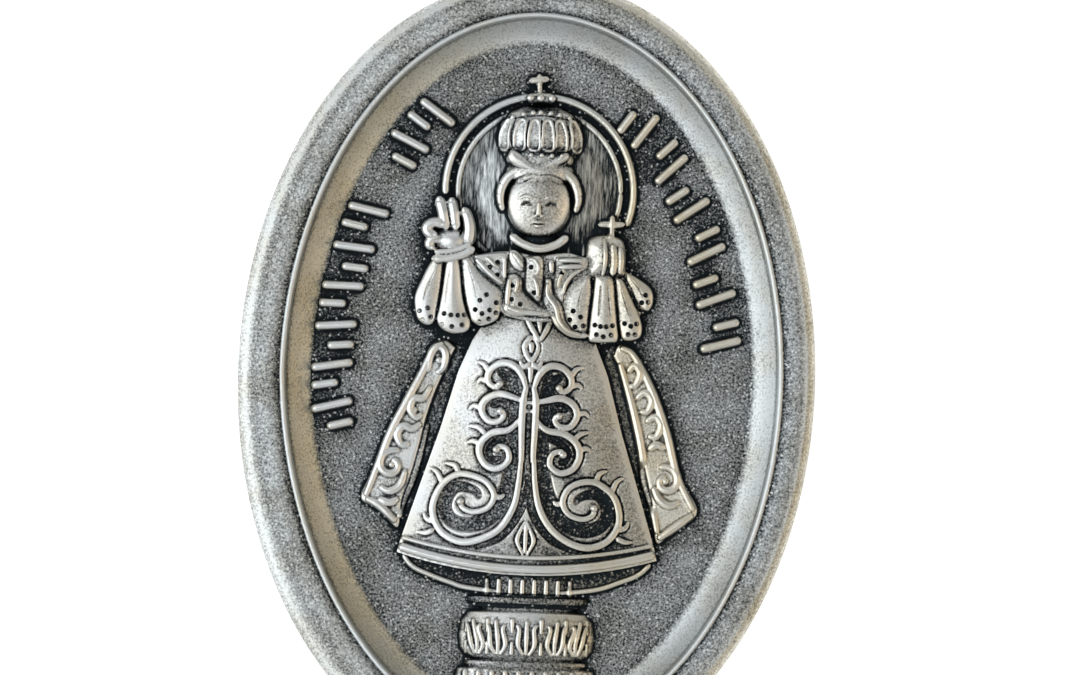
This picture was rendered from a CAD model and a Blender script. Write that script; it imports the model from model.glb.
import bpy
import math
import numpy as np
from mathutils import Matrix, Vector
from mathutils.bvhtree import BVHTree


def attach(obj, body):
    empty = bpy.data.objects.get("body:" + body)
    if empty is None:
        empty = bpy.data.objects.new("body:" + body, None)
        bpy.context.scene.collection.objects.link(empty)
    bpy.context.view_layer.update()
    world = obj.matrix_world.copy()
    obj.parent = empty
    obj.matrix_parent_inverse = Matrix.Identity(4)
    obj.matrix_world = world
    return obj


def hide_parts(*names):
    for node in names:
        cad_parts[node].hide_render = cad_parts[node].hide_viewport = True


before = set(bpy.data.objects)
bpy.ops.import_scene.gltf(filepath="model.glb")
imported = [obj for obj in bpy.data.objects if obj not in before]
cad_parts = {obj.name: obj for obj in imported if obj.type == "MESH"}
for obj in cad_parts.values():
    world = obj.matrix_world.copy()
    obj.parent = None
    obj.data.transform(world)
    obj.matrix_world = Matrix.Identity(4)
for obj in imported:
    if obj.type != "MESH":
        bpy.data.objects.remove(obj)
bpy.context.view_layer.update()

# The camera looks straight down on the medal from 20 cm, through a long lens. The medal leans two
# degrees to the right in the picture, so the camera is turned by as much the other way.
picture_lean = math.radians(2.0)
picture_middle = (0.000376, 0.001302)
picture_width = 0.0337
camera_distance = 0.2
picture_level = 0.0015

lens = bpy.data.cameras.new("camera")
lens.sensor_width = 36.0
lens.lens = lens.sensor_width * camera_distance / picture_width
lens.clip_start = 0.01
lens.clip_end = 10.0
camera = bpy.data.objects.new("camera", lens)
camera.location = (*picture_middle, camera_distance + picture_level)
camera.rotation_euler = (0.0, 0.0, picture_lean)
bpy.context.collection.objects.link(camera)
bpy.context.scene.camera = camera

# The blank is one oval casting in silver-plated alloy: a rounded and slightly crowned rim, a cove
# inside it and a flat field. It is drawn up ring by ring from its outline at a thousand times life
# size, a metre for each millimetre, and reduced when it is done, as a medallist's pattern is.
oval_width = 18.0
oval_height = 25.0
oval_sides = 256
field_level = 1.15
rim_level = 2.0
rim_crown = 0.055
front_rounding = 0.34
back_rounding = 0.2
cove_top_inset = 1.34
cove_top_level = 1.68
cove_inset = 2.08
cove_hollow = 1.6
left_widening = 0.22
low_left_widening = 0.36
right_narrowing = 0.08
widening_start = 0.5
outer_ease = 0.4
field_ease = 0.8
groove_inset = 1.5
groove_width = 0.3
groove_depth = 0.12
field_inset = cove_inset + 0.05
field_cells_across = 236
field_cells_along = 324
rim_crease = math.radians(50)
life_size = 0.001


def take_up(piece):
    """Makes this the one selected object, which the operators then work on."""
    bpy.ops.object.select_all(action="DESELECT")
    piece.select_set(True)
    bpy.context.view_layer.objects.active = piece


def draw_in(profile):
    """Insets the selected face through pairs of distance in from the outline and height."""
    for (inset, level), (next_inset, next_level) in zip(profile, profile[1:]):
        bpy.ops.mesh.inset(thickness=next_inset - inset, depth=next_level - level, use_even_offset=True)


def oval_point(angle, inset):
    """A place at so much inside the outline, square to it."""
    half_width = oval_width / 2
    half_height = oval_height / 2
    outward = Vector((math.cos(angle) / half_width, math.sin(angle) / half_height)).normalized()
    return Vector((half_width * math.cos(angle), half_height * math.sin(angle))) - inset * outward


def reduce(piece):
    """Brings a piece from its working size down to life size, with its place in its mesh."""
    take_up(piece)
    piece.scale = (life_size, life_size, life_size)
    bpy.ops.object.transform_apply(location=True, rotation=True, scale=True)


bpy.ops.object.select_all(action="DESELECT")
bpy.ops.mesh.primitive_circle_add(
    vertices=oval_sides, radius=1.0, fill_type="NGON", location=(0.0, 0.0, back_rounding)
)
blank = bpy.context.object
blank.name = "blank"
blank.scale = (oval_width / 2, oval_height / 2, 1.0)
bpy.ops.object.transform_apply(location=True, rotation=True, scale=True)
bpy.ops.object.mode_set(mode="EDIT")
bpy.ops.mesh.select_all(action="SELECT")
shoulder = rim_level - front_rounding
bpy.ops.mesh.extrude_region_move(TRANSFORM_OT_translate={"value": (0.0, 0.0, shoulder - back_rounding)})
turns = [math.radians(angle) for angle in range(0, 91, 10)]
rim_profile = [
    (front_rounding * (1 - math.cos(turn)), shoulder + front_rounding * math.sin(turn)) for turn in turns
]
# Over the crowned top, into the line inside it, over the bright bead and down to the cove
rim_profile += [
    (0.48, rim_level + 0.65 * rim_crown),
    (0.66, rim_level + rim_crown),
    (0.84, rim_level + 0.8 * rim_crown),
    (0.97, rim_level + 0.35 * rim_crown),
    (1.02, rim_level - 0.01),
    (1.05, rim_level - 0.025),
    (1.08, rim_level),
    (1.12, rim_level + 0.04),
    (1.16, rim_level + 0.055),
    (1.21, rim_level + 0.03),
    (1.25, rim_level - 0.04),
    (1.28, rim_level - 0.18),
    (1.31, cove_top_level + 0.03),
    (cove_top_inset, cove_top_level),
]
cove_steps = 9
for step in range(1, cove_steps + 1):
    across = step / cove_steps
    inset = cove_top_inset + across * (cove_inset - cove_top_inset)
    level = field_level + (cove_top_level - field_level) * (1 - across) ** cove_hollow
    rim_profile.append((inset, level))
draw_in(rim_profile)
bpy.ops.mesh.delete(type="ONLY_FACE")
bpy.ops.mesh.select_all(action="DESELECT")
bpy.ops.object.mode_set(mode="OBJECT")
for face in blank.data.polygons:
    face.select = len(face.vertices) == oval_sides and face.normal.z < 0
bpy.ops.object.mode_set(mode="EDIT")
back_profile = [
    (back_rounding * (1 - math.cos(turn)), back_rounding * (math.sin(turn) - 1)) for turn in turns[::3]
]
back_profile += [
    (groove_inset, 0.0),
    (groove_inset + 0.35 * groove_width, -0.85 * groove_depth),
    (groove_inset + 0.5 * groove_width, -groove_depth),
    (groove_inset + 0.65 * groove_width, -0.85 * groove_depth),
    (groove_inset + groove_width, 0.0),
]
draw_in(back_profile)
bpy.ops.object.mode_set(mode="OBJECT")
bpy.ops.object.select_all(action="DESELECT")
bpy.ops.mesh.primitive_grid_add(
    x_subdivisions=field_cells_across, y_subdivisions=field_cells_along, size=2.0
)
field = bpy.context.object
for vertex in field.data.vertices:
    across, along = vertex.co.xy
    x = across * math.sqrt(1 - along * along / 2)
    y = along * math.sqrt(1 - across * across / 2)
    edge = oval_point(math.atan2(y, x), field_inset) * math.hypot(x, y)
    vertex.co = (edge.x, edge.y, field_level)
take_up(blank)
field.select_set(True)
bpy.ops.object.join()
bpy.ops.object.mode_set(mode="EDIT")
bpy.ops.mesh.select_all(action="DESELECT")
bpy.ops.mesh.select_mode(type="EDGE")
bpy.ops.mesh.select_non_manifold(
    use_wire=False, use_multi_face=False, use_non_contiguous=False, use_verts=False
)
bpy.ops.mesh.bridge_edge_loops()
bpy.ops.mesh.select_all(action="SELECT")
bpy.ops.mesh.normals_make_consistent(inside=False)
bpy.ops.object.mode_set(mode="OBJECT")

# The die stood a little off the middle, so the rim is wider on the left, and more so low down
for vertex in blank.data.vertices:
    across = 2 * vertex.co.x / oval_width
    along = 2 * vertex.co.y / oval_height
    share = math.hypot(across, along)
    if share > widening_start and vertex.co.z > field_level / 2:
        slope = Vector((across / oval_width, along / oval_height)) * 2 / share
        inset = (1 - share) / slope.length
        most = left_widening - low_left_widening * min(along / share, 0.0)
        widening = -(most if across < 0 else right_narrowing) * across / share
        stops = [0.0, outer_ease, cove_inset, cove_inset + field_ease]
        moved = np.interp(inset, stops, [0.0, 1.0, 1.0, 0.0])
        inward = -float(widening * moved) * slope.normalized()
        vertex.co.x += inward.x
        vertex.co.y += inward.y
reduce(blank)
bpy.ops.object.shade_smooth_by_angle(angle=rim_crease)


def new_group(name, inputs, outputs):
    """An empty node group with number inputs, given as name and value, and colour or number outputs."""
    group = bpy.data.node_groups.new(name, "ShaderNodeTree")
    for label, value in inputs:
        socket = group.interface.new_socket(label, in_out="INPUT", socket_type="NodeSocketFloat")
        socket.default_value = value
    for label, kind in outputs:
        group.interface.new_socket(label, in_out="OUTPUT", socket_type=kind)
    return group


def add_node(tree, kind, **settings):
    """A new node, with its settings given by name."""
    node = tree.nodes.new(kind)
    for name, value in settings.items():
        setattr(node, name, value)
    return node


def add_maths(tree, operation, first, second, clamp=False):
    """A Math node on two values, each a socket or a plain number."""
    node = add_node(tree, "ShaderNodeMath", operation=operation, use_clamp=clamp)
    for socket, value in zip(node.inputs, (first, second)):
        if isinstance(value, (int, float)):
            socket.default_value = value
        else:
            tree.links.new(value, socket)
    return node.outputs[0]


def add_ramp(tree, value, low, high):
    """Turns a value between low and high into 0 to 1, eased at both ends."""
    node = add_node(tree, "ShaderNodeMapRange", interpolation_type="SMOOTHSTEP")
    tree.links.new(value, node.inputs["Value"])
    node.inputs["From Min"].default_value = low
    node.inputs["From Max"].default_value = high
    return node.outputs[0]


def add_mix(tree, share, first, second):
    """A colour between two, each a socket or a colour, by a share."""
    node = add_node(tree, "ShaderNodeMix", data_type="RGBA")
    tree.links.new(share, node.inputs["Factor"])
    for name, value in (("A", first), ("B", second)):
        socket = [s for s in node.inputs if s.name == name and s.type == "RGBA"][0]
        if isinstance(value, tuple):
            socket.default_value = (*value, 1.0)
        else:
            tree.links.new(value, socket)
    return [s for s in node.outputs if s.type == "RGBA"][0]


# The skin of the casting: a fine sand grain, scattered bright specks and slow clouds of tone
clouds_per_mm = 0.7
speck_start = 0.72
speck_full = 0.9
grain = new_group(
    "casting_grain",
    [("Grain per mm", 14.0), ("Speck per mm", 6.0), ("Stretch", 1.0)],
    [("Grain", "NodeSocketFloat"), ("Specks", "NodeSocketFloat"), ("Clouds", "NodeSocketFloat")],
)
grain_in = add_node(grain, "NodeGroupInput")
grain_out = add_node(grain, "NodeGroupOutput")
place = add_node(grain, "ShaderNodeTexCoord")
sand = add_node(grain, "ShaderNodeTexNoise")
sand.inputs["Detail"].default_value = 4.0
sand.inputs["Roughness"].default_value = 0.72
specks = add_node(grain, "ShaderNodeTexVoronoi")
clouds = add_node(grain, "ShaderNodeTexNoise")
clouds.inputs["Scale"].default_value = clouds_per_mm / life_size
clouds.inputs["Detail"].default_value = 2.0
drawn = add_node(grain, "ShaderNodeVectorMath", operation="MULTIPLY")
drawn_by = add_node(grain, "ShaderNodeCombineXYZ")
drawn_by.inputs["X"].default_value = 1.0
drawn_by.inputs["Z"].default_value = 1.0
grain.links.new(grain_in.outputs["Stretch"], drawn_by.inputs["Y"])
grain.links.new(place.outputs["Object"], drawn.inputs[0])
grain.links.new(drawn_by.outputs[0], drawn.inputs[1])
for texture in (sand, specks, clouds):
    grain.links.new(drawn.outputs[0], texture.inputs["Vector"])
for texture, label in ((sand, "Grain per mm"), (specks, "Speck per mm")):
    per_metre = add_maths(grain, "MULTIPLY", grain_in.outputs[label], 1 / life_size)
    grain.links.new(per_metre, texture.inputs["Scale"])
grain.links.new(sand.outputs[0], grain_out.inputs["Grain"])
closeness = add_maths(grain, "SUBTRACT", 1.0, specks.outputs["Distance"])
speck_share = add_ramp(grain, closeness, speck_start, speck_full)
grain.links.new(speck_share, grain_out.inputs["Specks"])
grain.links.new(clouds.outputs[0], grain_out.inputs["Clouds"])

# Oxide lies in the hollows and under the walls of the relief, and is rubbed off what stands proud
noise_middle = 0.5
oxide_weights = {"Hollow": 1.0, "Shelter": 0.5, "Crest": -0.6}
unevenness = {"Grain": 2.6, "Clouds": 0.5}
oxide = new_group(
    "oxide",
    [("Remaining", 0.0), ("Hollow", 0.0), ("Shelter", 0.0), ("Crest", 0.0), ("Grain", noise_middle),
     ("Clouds", noise_middle)],
    [("Oxide", "NodeSocketFloat")],
)
oxide_in = add_node(oxide, "NodeGroupInput")
oxide_out = add_node(oxide, "NodeGroupOutput")
amount = oxide_in.outputs["Remaining"]
for label, weight in oxide_weights.items():
    amount = add_maths(oxide, "ADD", amount, add_maths(oxide, "MULTIPLY", oxide_in.outputs[label], weight))
for label, weight in unevenness.items():
    uneven = add_maths(oxide, "SUBTRACT", oxide_in.outputs[label], noise_middle)
    amount = add_maths(oxide, "ADD", amount, add_maths(oxide, "MULTIPLY", uneven, weight))
oxide.links.new(add_maths(oxide, "ADD", amount, 0.0, clamp=True), oxide_out.inputs["Oxide"])

oxide_black = (0.018, 0.024, 0.028)
brown_tint = (0.92, 0.82, 0.64)
patch_start = 0.4
patch_full = 0.7
oxide_dulling = 0.2


def antique_silver(name, silver, roughness, grain_height, speck_light, tarnish, stretch=1.0):
    """Silver plate with black oxide where the piece's attributes put it, and a brown cast in patches."""
    metal = bpy.data.materials.new(name)
    metal.use_nodes = True
    tree = metal.node_tree
    shader = tree.nodes["Principled BSDF"]
    shader.inputs["Metallic"].default_value = 1.0
    skin = add_node(tree, "ShaderNodeGroup", node_tree=grain)
    skin.inputs["Stretch"].default_value = stretch
    dark = add_node(tree, "ShaderNodeGroup", node_tree=oxide)
    cast = add_node(tree, "ShaderNodeAttribute", attribute_name="cast")
    for label in ("Remaining", "Hollow", "Shelter", "Crest"):
        reading = add_node(tree, "ShaderNodeAttribute", attribute_name=label.lower())
        tree.links.new(reading.outputs["Fac"], dark.inputs[label])
    tree.links.new(skin.outputs["Grain"], dark.inputs["Grain"])
    tree.links.new(skin.outputs["Clouds"], dark.inputs["Clouds"])
    speck = add_maths(tree, "MULTIPLY", skin.outputs["Specks"], speck_light)
    kept = add_maths(tree, "SUBTRACT", 1.0, speck)
    share = add_maths(tree, "MULTIPLY", dark.outputs["Oxide"], kept)
    brown = tuple(silver_part * tint for silver_part, tint in zip(silver, brown_tint))
    patches = add_ramp(tree, skin.outputs["Clouds"], patch_start, patch_full)
    patches = add_maths(tree, "MULTIPLY", patches, tarnish)
    patches = add_maths(tree, "ADD", patches, cast.outputs["Fac"], clamp=True)
    clean = add_mix(tree, patches, silver, brown)
    colour = add_mix(tree, share, clean, oxide_black)
    tree.links.new(colour, shader.inputs["Base Color"])
    duller = add_maths(tree, "ADD", add_maths(tree, "MULTIPLY", share, oxide_dulling), roughness)
    tree.links.new(duller, shader.inputs["Roughness"])
    bump = add_node(tree, "ShaderNodeBump")
    bump.inputs["Strength"].default_value = 1.0
    bump.inputs["Distance"].default_value = grain_height
    tree.links.new(skin.outputs["Grain"], bump.inputs["Height"])
    tree.links.new(bump.outputs["Normal"], shader.inputs["Normal"])
    return metal


silver_tone = (0.84, 0.87, 0.87)
ground_metal = antique_silver(
    "field_and_rim_silver", silver_tone, roughness=0.4, grain_height=0.00002, speck_light=0.8, tarnish=0.3
)
blank.data.materials.clear()
blank.data.materials.append(ground_metal)
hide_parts("medal")
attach(blank, "root")

# The halo is a low disc behind the head, inside a fine raised ring that runs from the fingers over
# the crown to the cross on the orb. Its forms stand on the field and are cast with it.
# The figure is drawn from its foot, in thousandths of its height, and its forms' tops as shares of its rise
foot_x = 0.198
foot_y = -10.145
unit = 0.01969
relief_rise = 0.95
buried = -0.25
cut_depth = 0.05
relief_crease = math.radians(45)
fine_voxel = 0.03
broad_voxel = 0.04
steps_between_knots = 12
path_spacing = 2.5
outline_spacing = 4.0
bluntest_end = 0.97
turned_down = -0.05
halo_y = 814
halo_radius = 149
disc_radius = 133
disc_lip_inset = 4
disc_lip_half = 4.5
ring_half = 5.8


def mound(x, y, half_width, half_height, top, base=0.0, fullness=1.0):
    """A rounded form at its place on the figure, in thousandths of its height and shares of its rise.

    Fullness below 1 flattens its top and steepens its sides.
    """
    bpy.ops.mesh.primitive_uv_sphere_add(
        segments=32,
        ring_count=24,
        radius=1.0,
        location=(foot_x + x * unit, foot_y + y * unit, field_level + base * relief_rise),
        scale=(half_width * unit, half_height * unit, (top - base) * relief_rise),
    )
    made = bpy.context.object
    for vertex in made.data.vertices:
        vertex.co.z = math.copysign(abs(vertex.co.z) ** fullness, vertex.co.z)
    return made


def smooth_line(knots, spacing):
    """Points at an even spacing on a smooth line through the knots."""
    knots = np.array(knots, dtype=float)
    before = 2 * knots[:1] - knots[1:2]
    after = 2 * knots[-1:] - knots[-2:-1]
    held = np.vstack([before, knots, after])
    run = []
    for a, b, c, d in zip(held, held[1:], held[2:], held[3:]):
        for t in np.linspace(0.0, 1.0, steps_between_knots, endpoint=False):
            run.append(0.5 * (2 * b + (c - a) * t + (2 * a - 5 * b + 4 * c - d) * t**2
                              + (3 * b - a - 3 * c + d) * t**3))
    run = np.array(run + [knots[-1]])
    walked = np.concatenate([[0.0], np.cumsum(np.linalg.norm(np.diff(run[:, :2], axis=0), axis=1))])
    count = max(4, int(walked[-1] / spacing) + 1)
    stops = np.linspace(0.0, walked[-1], count)
    return np.column_stack([np.interp(stops, walked, column) for column in run.T]), stops


def rod(points, radii):
    """A round rod along points, with its own radius at each, made a mesh."""
    line = bpy.data.curves.new("rod", "CURVE")
    line.dimensions = "3D"
    line.bevel_depth = 1.0
    line.bevel_resolution = 2
    line.use_fill_caps = True
    run = line.splines.new("POLY")
    run.points.add(len(points) - 1)
    for knot, point, radius in zip(run.points, points, radii):
        knot.co = (*point, 1.0)
        knot.radius = radius
    made = bpy.data.objects.new("rod", line)
    bpy.context.collection.objects.link(made)
    take_up(made)
    bpy.ops.object.convert(target="MESH")
    return bpy.context.object


def path_and_widths(path, halves):
    """A smooth path in millimetres, its half-widths with rounded ends, and how far along each point is."""
    points, walked = smooth_line(path, path_spacing)
    shares = walked / walked[-1]
    widths = np.interp(shares, np.linspace(0.0, 1.0, len(halves)), halves)
    to_end = np.minimum(walked, walked[-1] - walked)
    blunt = np.clip(1.0 - to_end / np.maximum(widths, 1e-6), 0.0, bluntest_end)
    widths = widths * np.sqrt(1.0 - blunt**2)
    return points * unit + (foot_x, foot_y), widths * unit, shares


def fold(path, halves, tops, squash=0.8):
    """A round-backed form that stands on the field along a path. Squash flattens its back."""
    points, radii, shares = path_and_widths(path, halves)
    heights = np.interp(shares, np.linspace(0.0, 1.0, len(tops)), tops) * relief_rise
    centres = heights / squash - radii
    made = rod(np.column_stack([points, centres]), radii)
    made.scale = (1.0, 1.0, squash)
    made.location = (0.0, 0.0, field_level)
    bpy.ops.object.transform_apply(location=True, rotation=True, scale=True)
    for vertex in made.data.vertices:
        if vertex.normal.z < turned_down:
            vertex.co.z = field_level + buried
    return made


def slab(outline, top, rounding, smooth=True):
    """A flat-topped form with a rounded edge, from its outline."""
    if smooth:
        ring = smooth_line([*outline, outline[0]], outline_spacing)[0][:-1]
    else:
        ring = np.array(outline, dtype=float)
    ring = ring * unit + (foot_x, foot_y)
    following = np.roll(ring, -1, axis=0)
    if (ring[:, 0] * following[:, 1] - following[:, 0] * ring[:, 1]).sum() < 0:
        ring = ring[::-1]
    sheet = bpy.data.meshes.new("slab")
    floor = field_level + buried
    sheet.from_pydata([(x, y, floor) for x, y in ring], [], [range(len(ring))])
    made = bpy.data.objects.new("slab", sheet)
    bpy.context.collection.objects.link(made)
    take_up(made)
    bpy.ops.object.mode_set(mode="EDIT")
    bpy.ops.mesh.select_all(action="SELECT")
    full = top * relief_rise - buried
    bpy.ops.mesh.extrude_region_move(TRANSFORM_OT_translate={"value": (0.0, 0.0, full - rounding)})
    draw_in([(rounding * (1 - math.cos(turn)), rounding * math.sin(turn)) for turn in turns[::3]])
    bpy.ops.mesh.select_all(action="SELECT")
    bpy.ops.mesh.normals_make_consistent(inside=False)
    bpy.ops.object.mode_set(mode="OBJECT")
    return made


def join(parts):
    """Makes several objects one, with their places in its mesh."""
    bpy.ops.object.select_all(action="DESELECT")
    for part in parts:
        part.select_set(True)
    bpy.context.view_layer.objects.active = parts[0]
    bpy.ops.object.transform_apply(location=True, rotation=True, scale=True)
    bpy.ops.object.join()
    return bpy.context.object


def fuse(name, parts, voxel, easing):
    """Melts forms into one skin, of the fineness of a voxel, and eases it so many times."""
    piece = join(parts)
    piece.name = name
    piece.data.remesh_voxel_size = voxel
    bpy.ops.object.voxel_remesh()
    soft = piece.modifiers.new("easing", "SMOOTH")
    soft.factor = 0.5
    soft.iterations = easing
    bpy.ops.object.modifier_apply(modifier=soft.name)
    return piece


def finish_relief(piece, metal):
    """Cuts a relief off just under the field, closes it, and gives it its metal and its place."""
    take_up(piece)
    bpy.ops.object.mode_set(mode="EDIT")
    bpy.ops.mesh.select_all(action="SELECT")
    bpy.ops.mesh.bisect(
        plane_co=(0.0, 0.0, field_level - cut_depth),
        plane_no=(0.0, 0.0, 1.0),
        use_fill=True,
        clear_inner=True,
    )
    bpy.ops.object.mode_set(mode="OBJECT")
    reduce(piece)
    bpy.ops.object.shade_smooth_by_angle(angle=relief_crease)
    piece.data.materials.clear()
    piece.data.materials.append(metal)
    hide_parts("medal")
    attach(piece, "root")


relief_tone = (0.89, 0.9, 0.89)
relief_metal = antique_silver(
    "relief_silver", relief_tone, roughness=0.35, grain_height=0.000009, speck_light=0.45, tarnish=0.4
)
halo_metal = antique_silver(
    "halo_silver", silver_tone, roughness=0.36, grain_height=0.000012, speck_light=0.6, tarnish=0.3,
    stretch=0.12,
)


def around(x, y, radius, start, end, count):
    """Knots on part of a circle, from one angle to another in degrees."""
    angles = np.radians(np.linspace(start, end, count))
    return [(x + radius * math.cos(a), y + radius * math.sin(a)) for a in angles]


disc = mound(0, halo_y, disc_radius, disc_radius, top=0.26, base=-0.2, fullness=0.9)
disc_edge = slab(around(0, halo_y, disc_radius, 0, 352.5, 48), top=0.12, rounding=0.04, smooth=False)
lip_circle = around(0, halo_y, disc_radius - disc_lip_inset, 0, 360, 49)
disc_lip = fold(lip_circle, [disc_lip_half], tops=[0.2], squash=0.6)
ring = fold(around(0, halo_y, halo_radius, -20, 184, 33), [ring_half], tops=[0.38], squash=1.0)
halo = fuse("halo", [disc, disc_edge, disc_lip, ring], broad_voxel, easing=2)
finish_relief(halo, halo_metal)

# The mantle hangs behind the robe as a wing on each side: a plain sunk lining next to the robe, and a
# border outside it with an edge line and chased scrolls. It is cast with the rest.
lining_top = 0.03
lining_rounding = 0.05
border_top = 0.3
border_rounding = 0.08
probe_height = 9.0
root_depth = 0.16
easing_run = 5
strip_fullness = 0.65
left_outer_edge = [
    (-141, 572), (-160, 563), (-181, 518), (-203, 474), (-225, 428), (-245, 370), (-266, 318), (-236, 301),
]
left_wing = [(-120, 566), *left_outer_edge, (-203, 270), (-160, 330), (-100, 500)]
left_border = [
    (-124, 561), *left_outer_edge, (-206, 272), (-201, 316), (-189, 354), (-177, 401), (-169, 439),
    (-157, 481), (-139, 527),
]
right_outer_edge = [(136, 575), (161, 561), (192, 507), (218, 438), (238, 369), (268, 313), (230, 281)]
right_wing = [(120, 570), *right_outer_edge, (199, 256), (160, 330), (100, 500)]
right_border = [
    (126, 556), *right_outer_edge, (204, 262), (196, 320), (180, 385), (163, 451), (144, 520),
]


def surface_of(piece):
    """Makes a function that gives the height of a piece's face at a place on the medal."""
    tree = BVHTree.FromObject(piece, bpy.context.evaluated_depsgraph_get())

    def height(x, y):
        hit = tree.ray_cast(Vector((x, y, probe_height)), Vector((0.0, 0.0, -1.0)))[0]
        return field_level if hit is None else hit.z

    return height


def lay(surface, path, halves, lift=0.0, rooted=True):
    """A rod half sunk in a face along a path. Lift moves it out of the face by so much of its radius."""
    points, radii = path_and_widths(path, halves)[:2]
    heights = np.array([surface(x, y) for x, y in points])
    if len(heights) > easing_run + 1:
        padded = np.pad(heights, easing_run // 2, mode="edge")
        heights = np.convolve(padded, np.ones(easing_run) / easing_run, mode="valid")
    made = rod(np.column_stack([points, heights + lift * radii]), radii)
    if rooted:
        for vertex in made.data.vertices:
            if vertex.normal.z < turned_down:
                vertex.co.z -= root_depth
    return made


def drape(surface, path, halves, depth, rooted=False):
    """A strip with a nearly flat back, so deep to either side of the face that it follows."""
    points, radii = path_and_widths(path, halves)[:2]
    made = rod(np.column_stack([points, np.zeros(len(points))]), radii)
    widest = radii.max()
    for vertex in made.data.vertices:
        foot = -root_depth if rooted and vertex.normal.z < turned_down else 0.0
        height = math.copysign(abs(vertex.co.z / widest) ** strip_fullness, vertex.co.z) * depth
        vertex.co.z = height + foot + surface(vertex.co.x, vertex.co.y)
    return made


def pearl(surface, x, y, radius, lift=0.2):
    """A small round bead set in a face."""
    place = (foot_x + x * unit, foot_y + y * unit)
    size = radius * unit
    bpy.ops.mesh.primitive_uv_sphere_add(
        segments=12, ring_count=8, radius=size, location=(*place, surface(*place) + lift * size)
    )
    return bpy.context.object


def carve(piece, cutters):
    """Cuts grooves and pits into a face, each the shape of a rod or bead let into it."""
    tool = fuse("graver", cutters, fine_voxel, easing=0)
    take_up(piece)
    cut = piece.modifiers.new("carving", "BOOLEAN")
    cut.operation = "DIFFERENCE"
    cut.solver = "MANIFOLD"
    cut.object = tool
    bpy.ops.object.modifier_apply(modifier=cut.name)
    bpy.data.objects.remove(tool)


def spiral(x, y, outer, inner, start, sweep, count=16):
    """Knots from the outside of a volute in to its eye."""
    knots = []
    for step in range(count):
        share = step / (count - 1)
        angle = math.radians(start + sweep * share)
        radius = inner + (outer - inner) * (1 - share) ** 1.3
        knots.append((x + radius * math.cos(angle), y + radius * math.sin(angle)))
    return knots


wing_forms = []
for wing, border in ((left_wing, left_border), (right_wing, right_border)):
    wing_forms.append(slab(wing, lining_top, lining_rounding))
    wing_forms.append(slab(border, border_top, border_rounding))
wings = fuse("mantle", wing_forms, fine_voxel, easing=2)
on_mantle = surface_of(wings)
mantle_lines = [
    [(-141, 566), (-157, 560), (-177, 517), (-199, 472), (-221, 426), (-241, 370), (-259, 320)],
    [(-259, 318), (-235, 306), (-208, 281)],
    [(-205, 287), (-197, 320), (-184, 356), (-173, 402), (-165, 440)],
    [(-167, 520), (-163, 548), (-152, 562), (-140, 552), (-142, 530), (-154, 518)],
    [(-160, 500), (-172, 480), (-187, 478), (-193, 462), (-183, 448), (-172, 455)],
    [(-173, 440), (-188, 430), (-203, 434), (-212, 420), (-204, 404), (-191, 408)],
    spiral(-219, 372, 25, 7, 60, 400),
    [(-196, 366), (-205, 340), (-222, 330), (-238, 338)],
    [(-205, 320), (-220, 312), (-240, 318)],
    [(136, 570), (158, 558), (188, 505), (214, 438), (234, 369), (262, 314)],
    [(262, 310), (230, 286), (206, 268)],
    [(137, 546), (152, 500), (166, 452), (178, 400), (182, 360), (196, 318), (206, 276)],
    [(150, 530), (160, 542), (170, 530), (163, 512), (152, 508)],
    [(164, 488), (178, 500), (190, 488), (183, 470), (170, 470)],
    [(180, 452), (196, 462), (206, 448), (198, 430), (184, 432)],
    [(186, 408), (200, 418), (214, 410)],
    spiral(216, 360, 25, 7, 120, -400),
    [(196, 352), (206, 332), (222, 322), (240, 328)],
]
mantle_line_halves = [4.8, 7.2, 7.2, 4.8]
mantle_bead = 5.5
mantle_bead_places = [(-219, 372), (216, 360), (-150, 540), (-186, 460)]
mantle_parts = [wings] + [lay(on_mantle, line, mantle_line_halves, lift=0.1) for line in mantle_lines]
mantle_parts += [pearl(on_mantle, x, y, mantle_bead) for x, y in mantle_bead_places]
mantle = fuse("mantle", mantle_parts, fine_voxel, easing=1)
finish_relief(mantle, relief_metal)

# The pedestal is a half-round relief of a turned base, cast with the rest: a fringe under the robe,
# two thin plates, a swelling drum cut with upright leaves, and a stepped foot with short flutes.
pedestal_x = 4
under_skirt = [
    (-197, 232), (-196, 222), (-160, 202), (-120, 189), (-88, 181), (7, 174), (102, 183), (149, 198),
    (196, 222), (198, 232), (120, 250), (0, 250), (-120, 250),
]
pedestal_section = [
    (0, 206), (73, 206), (73, 169), (96, 168), (98, 163), (94, 159), (82, 158), (84, 153), (76, 148),
    (94, 143), (104, 130), (108, 107), (105, 86), (95, 73), (84, 69), (97, 66), (98, 61), (94, 58),
    (108, 53), (112, 38), (112, 32), (121, 28), (124, 22), (124, 5), (120, 0), (0, 0),
]
skirt_hem = [
    (-196, 230), (-180, 212), (-150, 199), (-120, 189), (-88, 181), (7, 174), (102, 183), (149, 198),
    (178, 211), (196, 228),
]
pleat_count = 8
pleat_span = 150
flute_count = 10
flute_span = 212
drum_reach = 112
leaf_places = [-78, -45, 0, 45, 78]
leaf_spread = 13
leaf_lean = 0.08
tongue_places = [-96, -62, -23, 23, 62, 96]
turning_steps = 64


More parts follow.
